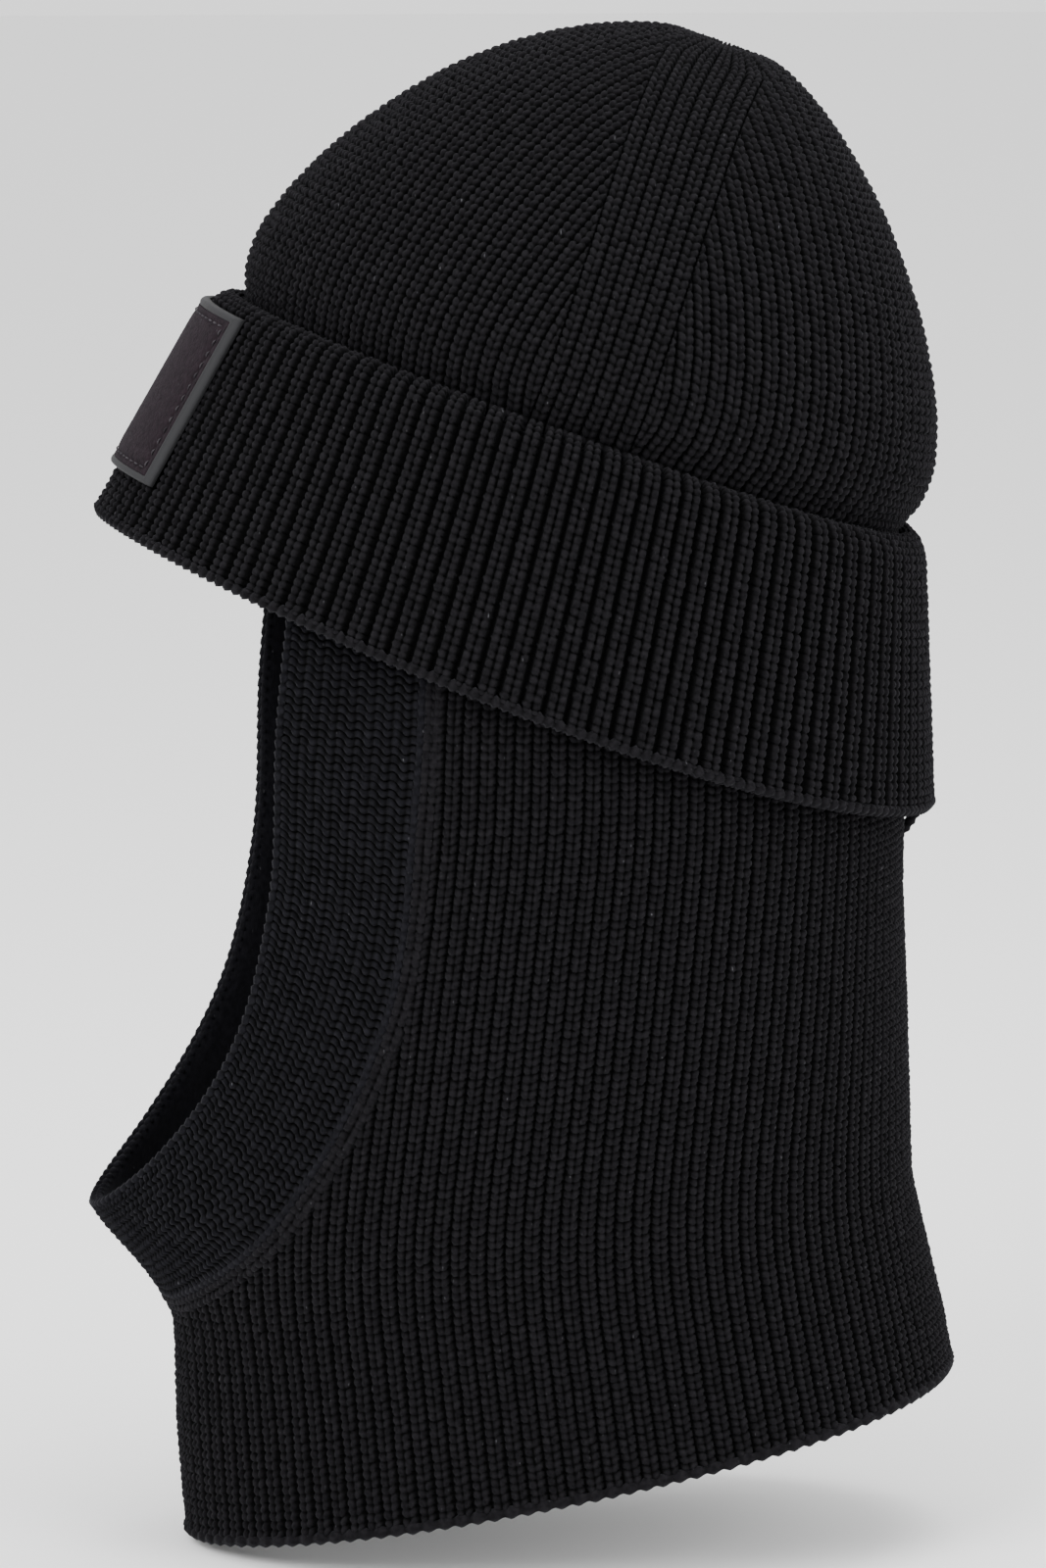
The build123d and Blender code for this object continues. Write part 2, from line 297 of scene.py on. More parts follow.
def trace(skin, curve, top_level, bottom_level):
    """The +X half of a side-view curve as (u, v) on the hood's skin, evenly spaced along it."""
    curve = curve_points(curve, 400)
    flat = np.column_stack([np.zeros(len(curve)), curve])
    v = (hood_level(flat) - top_level) / (bottom_level - top_level)
    rows, columns = skin.points.shape[:2]
    half = columns // 2
    u = np.empty(len(curve))
    for index, share in enumerate(v):
        row = skin.points[int(np.clip(share, 0, 1) * (rows - 1)), :half + 1, 1]
        u[index] = np.interp(curve[index, 0], np.maximum.accumulate(row), np.arange(half + 1)) / columns
    u[-1] = 0.0
    points, _ = skin.at(u, v)
    walked = distances(points)
    even = np.linspace(0, walked[-1], 600)
    return np.interp(even, walked, u), np.interp(even, walked, v), walked[-1]


# Stitch shapes: height in millimetres over the skin, at a share across the wale and a course number

def knit_height(x, course, pitch, course_mm, cover, depth, seed):
    """Plain stitches of two plump leaning legs; cover is a wale's share of its pitch, the rest is groove."""
    wale_mm = pitch * cover
    across = (x - np.floor(x) - 0.5) * pitch
    wale = np.floor(x).astype(int)
    row = np.floor(course).astype(int)
    nudge = np.random.default_rng(seed).normal(0, 1, (64, 64, 2, 4))
    height = -depth + 0.4 * depth * np.cos(math.pi * across / pitch) ** 2
    lean = math.radians(LEG_LEAN)
    for step in (-1, 0, 1):
        down = (course - (row + step) - 0.5) * course_mm
        for side in (0, 1):
            which = nudge[(row + step) % 64, wale % 64, side]
            hand = 2 * side - 1
            aside = across - hand * 0.24 * wale_mm - 0.07 * which[..., 0]
            q = down - 0.1 * which[..., 2]
            half_leg = 0.255 * wale_mm * (1 + 0.05 * which[..., 1])
            a = (aside * math.cos(lean) + hand * q * math.sin(lean)) / half_leg
            b = (q * math.cos(lean) - hand * aside * math.sin(lean)) / (0.66 * course_mm)
            round_off = np.sqrt(np.clip(1 - a ** 2 - b ** 2, 0, 1))
            leg = LEG_RISE * (round_off - 1) + 0.12 * np.clip(which[..., 3], -1.5, 0.8)
            height = np.where((round_off > 0) & (leg > height), leg, height)
    return height


def purl_height(x, course, seed):
    """Purl side: each course is one wavy strand of three plies, highest at its turns; x counts stitches."""
    nudge = np.random.default_rng(seed).normal(0, 1, (64, 64, 3))
    turn = np.floor(2 * x + 0.5).astype(int)
    row = np.floor(course).astype(int)
    wave = np.cos(2 * math.pi * x)
    height = np.full(np.shape(x), -1.9)
    for step in (-1, 0, 1):
        which = nudge[(row + step) % 64, turn % 64]
        centre = row + step + 0.5 + 0.27 * wave
        thickness = 0.47 * (1 + 0.08 * which[..., 1])
        off = (course - centre) / thickness
        lift = -0.75 * (1 - np.abs(wave)) + 0.12 * np.clip(which[..., 2], -1.5, 0.8)
        plies = 0.1 * np.cos(3 * math.pi * off) - 0.1
        strand = 1.3 * (np.sqrt(np.clip(1 - off ** 2, 0, 1)) - 1) + lift + plies
        height = np.where((np.abs(off) < 1) & (strand > height), strand, height)
    return height


# Mesh making

def new_object(name, points, faces, corner_uvs, relief=None):
    """Mesh object; relief is each point's height in its stitch, from which the material paints shade into
    the crevices.
    """
    mesh = bpy.data.meshes.new(name)
    mesh.from_pydata((np.asarray(points) * MM).tolist(), [], faces)
    if relief is not None:
        heights = mesh.attributes.new("relief", "FLOAT", "POINT")
        heights.data.foreach_set("value", np.asarray(relief, np.float32))
    layer = mesh.uv_layers.new(name="OFBake")
    layer.data.foreach_set("uv", np.asarray(corner_uvs, np.float32).ravel())
    mesh.polygons.foreach_set("use_smooth", np.ones(len(mesh.polygons), bool))
    mesh.update()
    piece = bpy.data.objects.new(name, mesh)
    bpy.context.scene.collection.objects.link(piece)
    return piece


def grid_quads(ids, kept, low, high):
    """A grid's kept squares and their UVs, which fill the texture's height from low to high."""
    r, c = np.nonzero(kept)
    corners = np.stack([ids[r, c], ids[r + 1, c], ids[r + 1, c + 1], ids[r, c + 1]], axis=-1)
    total_rows = ids.shape[0] - 1
    total_columns = ids.shape[1] - 1
    u = np.stack([c, c, c + 1, c + 1], axis=-1) / total_columns
    v = low + (high - low) * np.stack([r, r + 1, r + 1, r], axis=-1) / total_rows
    return corners, np.stack([u, v], axis=-1)


def sound_faces(corners, corner_uvs):
    """Squares as face lists; a square with two corners in one point becomes a triangle or is dropped."""
    whole = np.ones(len(corners), bool)
    for k in range(4):
        whole &= corners[:, k] != corners[:, (k + 1) % 4]
    faces = corners[whole].tolist()
    uvs = [corner_uvs[whole].reshape(-1, 2)]
    for four, four_uvs in zip(corners[~whole].tolist(), corner_uvs[~whole]):
        kept = [k for k in range(4) if four[k] != four[k - 1]]
        if len(kept) == 3 and len({four[k] for k in kept}) == 3:
            faces.append([four[k] for k in kept])
            uvs.append(four_uvs[kept])
    return faces, uvs


def edge_walls(fine, coarse, keep, per_wale, per_course, wrap):
    """Walls between the two sides, wherever a kept stitch has no neighbour."""
    courses, wales = keep.shape
    found = []
    for k, w in zip(*np.nonzero(keep)):
        top = k * per_course
        left = w * per_wale
        walls = []
        if k == 0 or not keep[k - 1, w]:
            over = fine[top, left:left + per_wale + 1].tolist()
            walls.append(over + [coarse[k, w + 1], coarse[k, w]])
        if k == courses - 1 or not keep[k + 1, w]:
            under = fine[top + per_course, left:left + per_wale + 1].tolist()
            walls.append(under[::-1] + [coarse[k + 1, w], coarse[k + 1, w + 1]])
        if (w == 0 and not (wrap and keep[k, wales - 1])) or (w > 0 and not keep[k, w - 1]):
            down = fine[top:top + per_course + 1, left].tolist()
            walls.append(down[::-1] + [coarse[k, w], coarse[k + 1, w]])
        if (w == wales - 1 and not (wrap and keep[k, 0])) or (w < wales - 1 and not keep[k, w + 1]):
            down_right = fine[top:top + per_course + 1, left + per_wale].tolist()
            walls.append(down_right + [coarse[k + 1, w + 1], coarse[k, w + 1]])
        for wall in walls:
            wall = [int(p) for n, p in enumerate(wall) if p != wall[n - 1]]
            if len(set(wall)) == len(wall) and len(wall) > 2:
                found.append(wall)
    return found


def fabric(name, outer, inner, keep, per_wale, per_course, height=None, wrap=False, alias=None):
    """Closed knitted layer. outer is the fine grid, inner has one point for each stitch corner."""
    rows, columns = outer.shape[:2]
    fine = np.arange(rows * columns).reshape(rows, columns)
    coarse = np.arange(inner.shape[0] * inner.shape[1]).reshape(inner.shape[:2]) + rows * columns
    if alias is not None:
        fine_alias, coarse_alias = alias
        fine = np.take_along_axis(fine, fine_alias, 1)
        coarse = np.take_along_axis(coarse, coarse_alias, 1)
    if wrap:
        fine = np.column_stack([fine[:, :-1], fine[:, :1]])
        coarse = np.column_stack([coarse[:, :-1], coarse[:, :1]])

    fine_keep = np.repeat(np.repeat(keep, per_course, 0), per_wale, 1)
    outer_faces, outer_uvs = grid_quads(fine, fine_keep, 0.01, 0.79)
    inner_faces, inner_uvs = grid_quads(coarse, keep, 0.81, 0.99)
    faces, uvs = sound_faces(outer_faces, outer_uvs)
    more_faces, more_uvs = sound_faces(inner_faces[:, ::-1], inner_uvs[:, ::-1])
    walls = edge_walls(fine, coarse, keep, per_wale, per_course, wrap)
    faces = faces + more_faces + walls
    uvs = uvs + more_uvs + [np.full((len(wall), 2), 0.995) for wall in walls]

    points = np.concatenate([outer.reshape(-1, 3), inner.reshape(-1, 3)])
    used = np.unique(np.concatenate([np.asarray(face) for face in faces]))
    place = np.zeros(len(points), int)
    place[used] = np.arange(len(used))
    faces = [[int(place[p]) for p in face] for face in faces]
    relief = None
    if height is not None:
        # painted shade: the stitch height becomes the relief the material darkens by, and the inner side
        # gets a fixed -0.4, painted a little darker
        relief = np.concatenate([height.ravel(), np.full(inner.shape[0] * inner.shape[1], -0.4)])[used]
    return new_object(name, points[used], faces, np.concatenate(uvs), relief)


def grids(wales, courses, per_wale, per_course):
    """Wale and course numbers at the fine grid's points and at the stitch corners."""
    across = np.arange(wales * per_wale + 1) / per_wale
    down = np.arange(courses * per_course + 1) / per_course
    fine = np.meshgrid(across, down)
    coarse = np.meshgrid(np.arange(wales + 1.0), np.arange(courses + 1.0))
    return fine, coarse


def build_layer(
    name, skin, wales, courses, per_wale, per_course, height, keep=None, thickness=KNIT, place=None,
):
    """Ring of knitting on a skin; place gives (u, v) of a wale and course number, or they are even."""
    if place is None:
        def place(x, course):
            """(u, v) of evenly spread wales and courses."""
            return x / wales, course / courses

    (x, course), (coarse_x, coarse_course) = grids(wales, courses, per_wale, per_course)
    points, normals = skin.at(*place(x, course))
    relief = height(x, course)
    outer = points + normals * relief[..., None]
    inner, inner_normals = skin.at(*place(coarse_x, coarse_course))
    inner = inner - inner_normals * thickness
    if keep is None:
        keep = np.ones((courses, wales), bool)
    return fabric(name, outer, inner, keep, per_wale, per_course, relief, wrap=True)


def ropes(name, paths, radius, link, plump=0.28, sides=8, per_link=6):
    """Chains of yarn along (points, normals) paths: tubes, each pinched and twisted once a link, with
    painted shade at each pinch.
    """
    vertices = []
    pinch_shade = []
    faces = []
    uvs = []
    for lane, (path, normals) in enumerate(paths):
        walked = distances(path)
        links = max(round(walked[-1] / link), 1)
        even = np.linspace(0, walked[-1], links * per_link + 1)
        path = resample(even, walked, path)
        normals = unit(resample(even, walked, normals))
        tangents = unit(np.gradient(path, axis=0))
        sideways = unit(np.cross(tangents, normals))
        phase = np.linspace(0, links, len(path))[:, None] + 0.5 * (lane % 2)
        angle = np.linspace(0, 2 * math.pi, sides, endpoint=False)[None, :]
        pinch = 1 - plump * np.abs(np.cos(math.pi * phase)) ** 3
        swell = radius * pinch * (1 + 0.4 * plump * np.sin(2 * math.pi * phase + 2 * angle))
        ends = np.minimum(np.arange(len(path)), np.arange(len(path))[::-1])[:, None]
        swell = swell * np.sqrt(np.clip(ends / 3, 0.02, 1))
        ring = (
            path[:, None]
            + sideways[:, None] * (swell * np.cos(angle))[..., None]
            + normals[:, None] * (swell * np.sin(angle))[..., None]
        )
        base = sum(len(v) for v in vertices)
        vertices.append(ring.reshape(-1, 3))
        # painted shade: the relief sinks at each pinch, so the yarn is painted darker there
        pinch_shade.append((1.6 * (pinch - 1) + 0 * angle).ravel())
        count = len(path)
        ids = np.arange(count * sides).reshape(count, sides) + base
        turned = np.roll(ids, -1, 1)
        quads = np.stack([ids[:-1], turned[:-1], turned[1:], ids[1:]], axis=-1).reshape(-1, 4)
        faces.extend(quads.tolist())
        r, s = np.meshgrid(np.arange(count - 1), np.arange(sides), indexing="ij")
        u = np.stack([r, r, r + 1, r + 1], axis=-1) / (count - 1)
        v = (lane + np.stack([s, s + 1, s + 1, s], axis=-1) / sides * 0.98) / len(paths)
        uvs.append(np.stack([u, v], axis=-1).reshape(-1, 2))
        for cap in (ids[0][::-1], ids[-1]):
            faces.append(cap.tolist())
            uvs.append(np.full((sides, 2), 0.999))
    return new_object(name, np.concatenate(vertices), faces, np.concatenate(uvs), np.concatenate(pinch_shade))


# Materials

def socket(node, name, value):
    """Sets the constant on a node's input."""
    node.inputs[name].default_value = value


def new_material(name):
    """An empty node material with its nodes, links, shader and place on the object."""
    material = bpy.data.materials.new(name)
    material.use_nodes = True
    nodes = material.node_tree.nodes
    place = nodes.new("ShaderNodeTexCoord").outputs["Object"]
    return material, nodes, material.node_tree.links, nodes["Principled BSDF"], place


def noise(nodes, links, vector, scale, detail=2.0):
    """Noise read at a vector."""
    texture = nodes.new("ShaderNodeTexNoise")
    socket(texture, "Scale", scale)
    socket(texture, "Detail", detail)
    links.new(vector, texture.inputs["Vector"])
    return texture.outputs["Fac"]


def bumps(nodes, links, shader, height, strength, distance):
    """Makes a shader's surface rise and fall with a height."""
    bump = nodes.new("ShaderNodeBump")
    socket(bump, "Strength", strength)
    socket(bump, "Distance", distance)
    links.new(height, bump.inputs["Height"])
    links.new(bump.outputs["Normal"], shader.inputs["Normal"])


def with_lint(nodes, links, colour, vector, lint):
    """A colour with a few pale lint fibres over it."""
    rare = nodes.new("ShaderNodeMapRange")
    socket(rare, "From Min", 0.76 - lint)
    socket(rare, "From Max", 0.84 - lint)
    links.new(noise(nodes, links, vector, 900.0, 1.0), rare.inputs["Value"])
    mixed = nodes.new("ShaderNodeMixRGB")
    socket(mixed, "Color2", (0.06, 0.06, 0.065, 1))
    links.new(rare.outputs["Result"], mixed.inputs["Fac"])
    links.new(colour, mixed.inputs["Color1"])
    return mixed.outputs["Color"]


def painted_crease_shade(nodes, links, colour, depth):
    """Painted shade: a colour darkened with the depth of the relief, as shade falls in the crevices between
    stitches.
    """
    relief = nodes.new("ShaderNodeAttribute")
    relief.attribute_name = "relief"
    shade = nodes.new("ShaderNodeMapRange")
    shade.interpolation_type = "SMOOTHSTEP"
    socket(shade, "From Min", -depth)
    socket(shade, "From Max", 0.0)
    socket(shade, "To Min", 0.06)
    links.new(relief.outputs["Fac"], shade.inputs["Value"])
    # painted shade: the colour is multiplied darker where the relief is deep
    sunk = nodes.new("ShaderNodeMixRGB")
    sunk.blend_type = "MULTIPLY"
    socket(sunk, "Fac", 1.0)
    links.new(colour, sunk.inputs["Color1"])
    links.new(shade.outputs["Result"], sunk.inputs["Color2"])
    return sunk.outputs["Color"]


def cloth_material(name, dark, light, fibre_scale, bump_depth, sheen, lint, depth=1.5):
    """Yarn or felt: mottled colour, painted shade in the crevices where a piece has relief, fibres in the
    bump and a few pale lint fibres.
    """
    material, nodes, links, shader, place = new_material(name)
    socket(shader, "Roughness", 0.92)
    socket(shader, "Specular IOR Level", 0.07)
    socket(shader, "Sheen Weight", sheen)
    socket(shader, "Sheen Roughness", 0.45)
    socket(shader, "Sheen Tint", (0.75, 0.75, 0.85, 1))
    colours = nodes.new("ShaderNodeValToRGB")
    colours.color_ramp.elements[0].position = 0.32
    colours.color_ramp.elements[0].color = (*dark, 1)
    colours.color_ramp.elements[1].position = 0.72
    colours.color_ramp.elements[1].color = (*light, 1)
    links.new(noise(nodes, links, place, 620.0, 4.0), colours.inputs["Fac"])

    stretch = nodes.new("ShaderNodeMapping")
    socket(stretch, "Scale", (1.0, 1.7, 0.45))
    socket(stretch, "Rotation", (0.5, 0.3, 0.9))
    links.new(place, stretch.inputs["Vector"])
    along_fibres = stretch.outputs["Vector"]
    colour = with_lint(nodes, links, colours.outputs["Color"], along_fibres, lint)
    links.new(painted_crease_shade(nodes, links, colour, depth), shader.inputs["Base Color"])
    bumps(nodes, links, shader, noise(nodes, links, along_fibres, fibre_scale, 3.0), 0.8, bump_depth)
    return material


def rubber_material():
    """Smooth dark grey rubber with faint mottling and a fine grain."""
    material, nodes, links, shader, place = new_material("patch_rubber_look")
    socket(shader, "Specular IOR Level", 0.16)
    mottle = noise(nodes, links, place, 500.0, 5.0)
    colours = nodes.new("ShaderNodeValToRGB")
    colours.color_ramp.elements[0].color = (0.0095, 0.0095, 0.0105, 1)
    colours.color_ramp.elements[1].color = (0.0165, 0.0165, 0.018, 1)
    links.new(mottle, colours.inputs["Fac"])
    links.new(colours.outputs["Color"], shader.inputs["Base Color"])
    gloss = nodes.new("ShaderNodeMapRange")
    socket(gloss, "To Min", 0.55)
    socket(gloss, "To Max", 0.75)
    links.new(mottle, gloss.inputs["Value"])
    links.new(gloss.outputs["Result"], shader.inputs["Roughness"])
    bumps(nodes, links, shader, noise(nodes, links, place, 2600.0), 0.25, 0.0001)
    return material


# the last number of each yarn is the relief depth of its painted crease shade
RIB_YARN = cloth_material(
    "rib_yarn_look", (0.0021, 0.0019, 0.0025), (0.0072, 0.0066, 0.0078), 2200, 0.0003, 0.035, 0.0, 1.3,
)
BAND_YARN = cloth_material(
    "band_yarn_look", (0.0018, 0.0018, 0.0027), (0.0066, 0.0064, 0.0084), 2600, 0.0002, 0.04, 0.0, 1.2,
)
FELT = cloth_material(
    "patch_felt_look", (0.005, 0.003, 0.0042), (0.0122, 0.0078, 0.0104), 1500, 0.0004, 0.02, 0.02,
)
THREAD = cloth_material(
    "patch_thread_look", (0.014, 0.012, 0.014), (0.045, 0.041, 0.045), 3000, 0.0001, 0.05, 0.02,
)
RUBBER = rubber_material()


def settle(piece, material, slot, *nodes):
    """Gives a piece its material, rides it on the garment and hides the CAD nodes it stands for."""
    piece.data.materials.append(material)
    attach(piece, "root")
    if nodes:
        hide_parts(*nodes)


# Pieces

def crown_lay(perimeters, per, rows):
    """(u, wale number, alias) of a grid whose gore columns end at the spines as the crown narrows."""
    pitch = perimeters.max() / (4 * QUARTER_WALES)
    perimeter = np.interp(rows, np.linspace(0, rows[-1], len(perimeters)), perimeters)[:, None]
    spine = SPINE_WALES * pitch * np.minimum(1, perimeter / (6 * SPINE_WALES * pitch))
    half_gore = perimeter / 8 - spine / 2
    column = np.arange(4 * QUARTER_WALES * per + 1)[None, :]
    quarter, inside = np.divmod(column, QUARTER_WALES * per)
    number = inside / per
    in_spine = number < SPINE_WALES
    from_middle = (number - SPINE_WALES - GORE_WALES / 2) * pitch
    early = ~in_spine & (from_middle < -half_gore + 0.02)
    late = ~in_spine & (from_middle > half_gore - 0.02)
    place = np.where(
        in_spine,
        number / SPINE_WALES * spine,
        spine + half_gore + np.clip(from_middle, -half_gore, half_gore),
    )
    u = quarter / 4 + (place - spine / 2) / perimeter
    u = u - SPINE_SHIFT * np.sin(2 * math.pi * u)
    own = np.broadcast_to(column, u.shape)
    first = (quarter * QUARTER_WALES + SPINE_WALES) * per
    following = (quarter + 1) * QUARTER_WALES * per
    alias = np.where(early, first, np.where(late, following, own))
    alias = np.where(alias == column.size - 1, 0, alias)
    across = np.where(early | late, 0.0, number + 0 * perimeter)
    return u, quarter * QUARTER_WALES + across, alias


def make_crown():
    """Crown of four gores between four narrow spines, where the gores' wales end one after another."""
    skin = crown_skin()
    arc = len(skin.points) * CROWN_STEP
    courses = round(arc / CROWN_COURSE)
    per_wale = 5 * DETAIL
    per_course = 3 * DETAIL
    fine_rows = np.arange(courses * per_course + 1) / per_course
    u, x, alias = crown_lay(skin.perimeters, per_wale, fine_rows)
    course = np.broadcast_to(fine_rows[:, None], u.shape)
    points, normals = skin.at(u, course / courses)
    height = knit_height(x, course, 4.6, CROWN_COURSE, 0.9, 2.4, 11)
    calm = np.clip((course - 1.0) / 4.0, 0.15, 1)
    outer = points + normals * (height * calm)[..., None]

    coarse_rows = np.arange(courses + 1.0)
    u, _, coarse_alias = crown_lay(skin.perimeters, 1, coarse_rows)
    inner, normals = skin.at(u, np.broadcast_to(coarse_rows[:, None], u.shape) / courses)
    sunk = np.clip(coarse_rows / 4.0, 0.2, 1)[:, None, None]
    inner = inner - normals * KNIT * sunk
    keep = np.ones((courses, 4 * QUARTER_WALES), bool)
    piece = fabric("crown", outer, inner, keep, per_wale, per_course, height, True, (alias, coarse_alias))
    settle(piece, RIB_YARN, "rib_yarn", "crown_side", "crown_shoulder", "crown_top")


def make_crown_lower():
    """Crown's lowest part, which runs down inside the cuff to its rim."""
    skin = cuff_skin([(5.4, LAYERS), (51.0, LAYERS)])
    piece = build_layer(
        "crown_lower", skin, 4 * QUARTER_WALES, 20, 4, 2,
        lambda x, course: knit_height(x, course, 4.9, 2.4, 0.9, 1.8, 12),
    )
    settle(piece, RIB_YARN, "rib_yarn", "crown_inner_wall")


def make_gather():
    """Drawn-in loops round the apex."""
    paths = []
    for index in range(9):
        turn = 2 * math.pi * (index + 0.3 * CHANCE.random()) / 9
        reach = np.linspace(0.4, 7.5, 12)
        bulge = 1.9 * np.sin(math.pi * np.linspace(0, 1, 12)) + 0.18 * reach
        across = reach * np.sin(turn)
        along = reach * np.cos(turn) - 1.6
        path = hat_points(across, along, 167.2 + bulge)
        upward = np.tile(hat_points(0.0, 0.0, 1.0), (12, 1))
        paths.append((path, upward))
    piece = ropes("crown_gathered_yarn", paths, 1.15, 2.4)
    settle(piece, RIB_YARN, "rib_yarn", "crown_gather")


def make_cuff():
    """Deep ribbed cuff with its rounded fold, and the plain inner layer."""
    turns = np.linspace(math.pi / 2, -math.pi / 2, 9)
    fold = [(63.2 + 4.2 * math.cos(turn), 4.2 - 4.2 * math.sin(turn)) for turn in turns]
    skin = cuff_skin([(-0.6, 0.0), *fold, (52.0, 8.4)])
    courses = round(len(skin.points) * 0.5 / CUFF_COURSE)
    piece = build_layer(
        "cuff", skin, CUFF_RIBS, courses, 6 * DETAIL, 3 * DETAIL,
        lambda x, course: knit_height(x, course, 6.0, CUFF_COURSE, 0.8, 3.4, 21),
        thickness=3.9,
    )
    settle(piece, RIB_YARN, "rib_yarn", "cuff_outer")
    lining = cuff_skin([(0.6, 4.4), (50.0, 4.4)])
    piece = build_layer(
        "cuff_lining", lining, CUFF_RIBS, 22, 4, 1,
        lambda x, course: -0.8 + 0.7 * np.cos(2 * math.pi * x),
        thickness=3.6,
    )
    settle(piece, RIB_YARN, "rib_yarn", "cuff_inner")


def ring_path(skin, v, lift):
    """Path once round a skin, moved outwards from it."""
    count = 900
    points, normals = skin.at(np.linspace(0, 1, count), np.full(count, v))
    return points + normals * lift, normals


def make_rim():
    """Linked chain along the cuff's lower rim: three strands side by side."""
    skin = cuff_skin([(-1.0, 0.0), (20.0, 0.0)])
    paths = [ring_path(skin, 1.0, -1.5), ring_path(skin, 1.0, -4.3), ring_path(skin, 1.0, -6.8)]
    piece = ropes("rim_chain", paths, 1.6, 2.95, plump=0.5)
    settle(piece, RIB_YARN, "rib_yarn", "rim_linking")


def make_back_seams():
    """Closing seams down the back of the cuff and the crown, and the tail left at the rim."""
    cuff = cuff_skin([(0.0, 0.0), (64.0, 0.0)])
    v = np.linspace(0.02, 0.98, 60)
    points, normals = cuff.at(np.full(60, 0.5), v)
    piece = ropes("cuff_closing_seam", [(points - normals * 1.2, normals)], 1.0, 2.1)
    settle(piece, RIB_YARN, "rib_yarn", "cuff_back_seam")
    crown = crown_skin()
    v = np.linspace(0.1, 0.93, 90)
    points, normals = crown.at(np.full(90, 0.5), v)
    piece = ropes("crown_closing_seam", [(points - normals * 1.3, normals)], 0.9, 2.35)
    settle(piece, RIB_YARN, "rib_yarn", "crown_back_seam")
    t = np.linspace(0, 1, 12)
    start = CUFF_LENGTH / 2 - 2.2
    paths = []
    for side in (-1, 1):
        across = side * (1.1 + 0.9 * t)
        path = hat_points(across, start - 2.5 * t ** 2, -1.5 - 11.5 * t)
        paths.append((path, np.tile(hat_points(0.0, 1.0, 0.0), (12, 1))))
    piece = ropes("seam_tail", paths, 1.35, 2.6)
    settle(piece, RIB_YARN, "rib_yarn", "rear_seam_tail")


def wale_lay(skin, neck_v):
    """u of each of the hood's wales on each row of the skin, on the +X half; they run nearly straight."""
    half = skin.points.shape[1] // 2
    side = skin.points[:, :half + 1]
    shares = np.arange(half + 1) / skin.points.shape[1]
    steps = np.linalg.norm(np.diff(side, axis=1), axis=2)
    from_back = np.column_stack([np.cumsum(steps[:, ::-1], axis=1)[:, ::-1], np.zeros(len(steps))])
    v = np.linspace(0, 1, len(steps))
    whole = 2 * from_back[:, 0] / HOOD_WALES
    pitch = np.interp(v, [0.0, neck_v], [HOOD_TOP_PITCH, np.interp(neck_v, v, whole)])
    pitch = np.where(v > neck_v, whole, pitch)
    count = np.arange(HOOD_WALES // 2 + 1)
    lay = np.stack([np.interp(count * p, far[::-1], shares[::-1]) for p, far in zip(pitch, from_back)])
    run = np.stack([np.interp(u, shares, row[:, 1]) for u, row in zip(lay, side)])
    reach = len(v) // 7
    longer = np.pad(run, ((reach, reach), (0, 0)), mode="reflect", reflect_type="odd")
    window = np.hanning(2 * reach + 1)
    window /= window.sum()
    even = np.stack([np.convolve(column, window, mode="valid") for column in longer.T], axis=1)
    straight = np.stack([np.interp(y, row[:, 1], shares) for y, row in zip(even, side)])
    share = np.clip(np.minimum(lay, 0.5 - lay) / 0.09, 0, 1)
    return lay + share * (straight - lay)


def make_hood():
    """Hood and neck panel, with its seams and hem; gives the skin and levels the band is laid on."""
    top_level = 50.0
    bottom_level = HEM_LEVEL + 2.6
    skin = hood_skin(top_level, bottom_level)
    courses = round((top_level - bottom_level) / HOOD_COURSE)
    seam_u, seam_v, _ = trace(skin, BAND_SEAM, top_level, bottom_level)
    lay = wale_lay(skin, seam_v[-1])

    def place(x, course):
        """(u, v) of wale and course numbers; the wales are counted from the back."""
        v = course / courses
        from_back = np.abs(x - HOOD_WALES / 2)
        wale = np.minimum(from_back.astype(int), lay.shape[1] - 2)
        level = np.clip(v, 0, 1) * (len(lay) - 1)
        row = np.minimum(level.astype(int), len(lay) - 2)
        part = from_back - wale
        upper = lay[row, wale] + part * (lay[row, wale + 1] - lay[row, wale])
        lower = lay[row + 1, wale] + part * (lay[row + 1, wale + 1] - lay[row + 1, wale])
        u = upper + (level - row) * (lower - upper)
        return np.where(x < HOOD_WALES / 2, u, 1 - u), v

    wale_u, course_v = place(*np.meshgrid(np.arange(HOOD_WALES) + 0.5, np.arange(courses) + 0.5))
    edge_u = np.interp(course_v, seam_v, seam_u, left=seam_u[0], right=0.0)
    edge_u = np.where(course_v > seam_v[-1], -1.0, edge_u)
    keep = np.minimum(wale_u, 1 - wale_u) > edge_u + 0.45 / HOOD_WALES
    middles, _ = skin.at(wale_u, course_v)
    keep &= height_in_hat(middles) < 4.6
    piece = build_layer(
        "hood", skin, HOOD_WALES, courses, 5 * DETAIL, 3 * DETAIL,
        lambda x, course: knit_height(x, course, 4.55, HOOD_COURSE, 0.88, 2.4, 31),
        keep=keep, place=place,
    )
    settle(piece, RIB_YARN, "rib_yarn", "hood_panel", "throat_left", "throat_right", "neck_tube")
    make_seam(skin, seam_u, seam_v)
    make_hem(skin, seam_v[-1])
    return skin, top_level, bottom_level


def make_seam(skin, seam_u, seam_v):
    """Border wale that follows the band's seam from rim to chin and up again, and the seam's chain."""
    points, _ = skin.at(seam_u, seam_v)
    shown = height_in_hat(points) < 4.0
    u = np.concatenate([seam_u[shown], -seam_u[shown][::-1][1:]])
    v = np.concatenate([seam_v[shown], seam_v[shown][::-1][1:]])
    centre, normal = skin.at(u, v)
    piece = ribbon("hood_border_wale", centre, normal, 1.9, 5.4, 0.35)
    settle(piece, RIB_YARN, "rib_yarn")
    groove = ribbon_side(centre, normal, -1.2)
    piece = ropes("band_seam_chain", [(groove - normal * 1.2, normal)], 1.25, 2.6)
    settle(piece, BAND_YARN, "band_yarn", "face_band_seam")


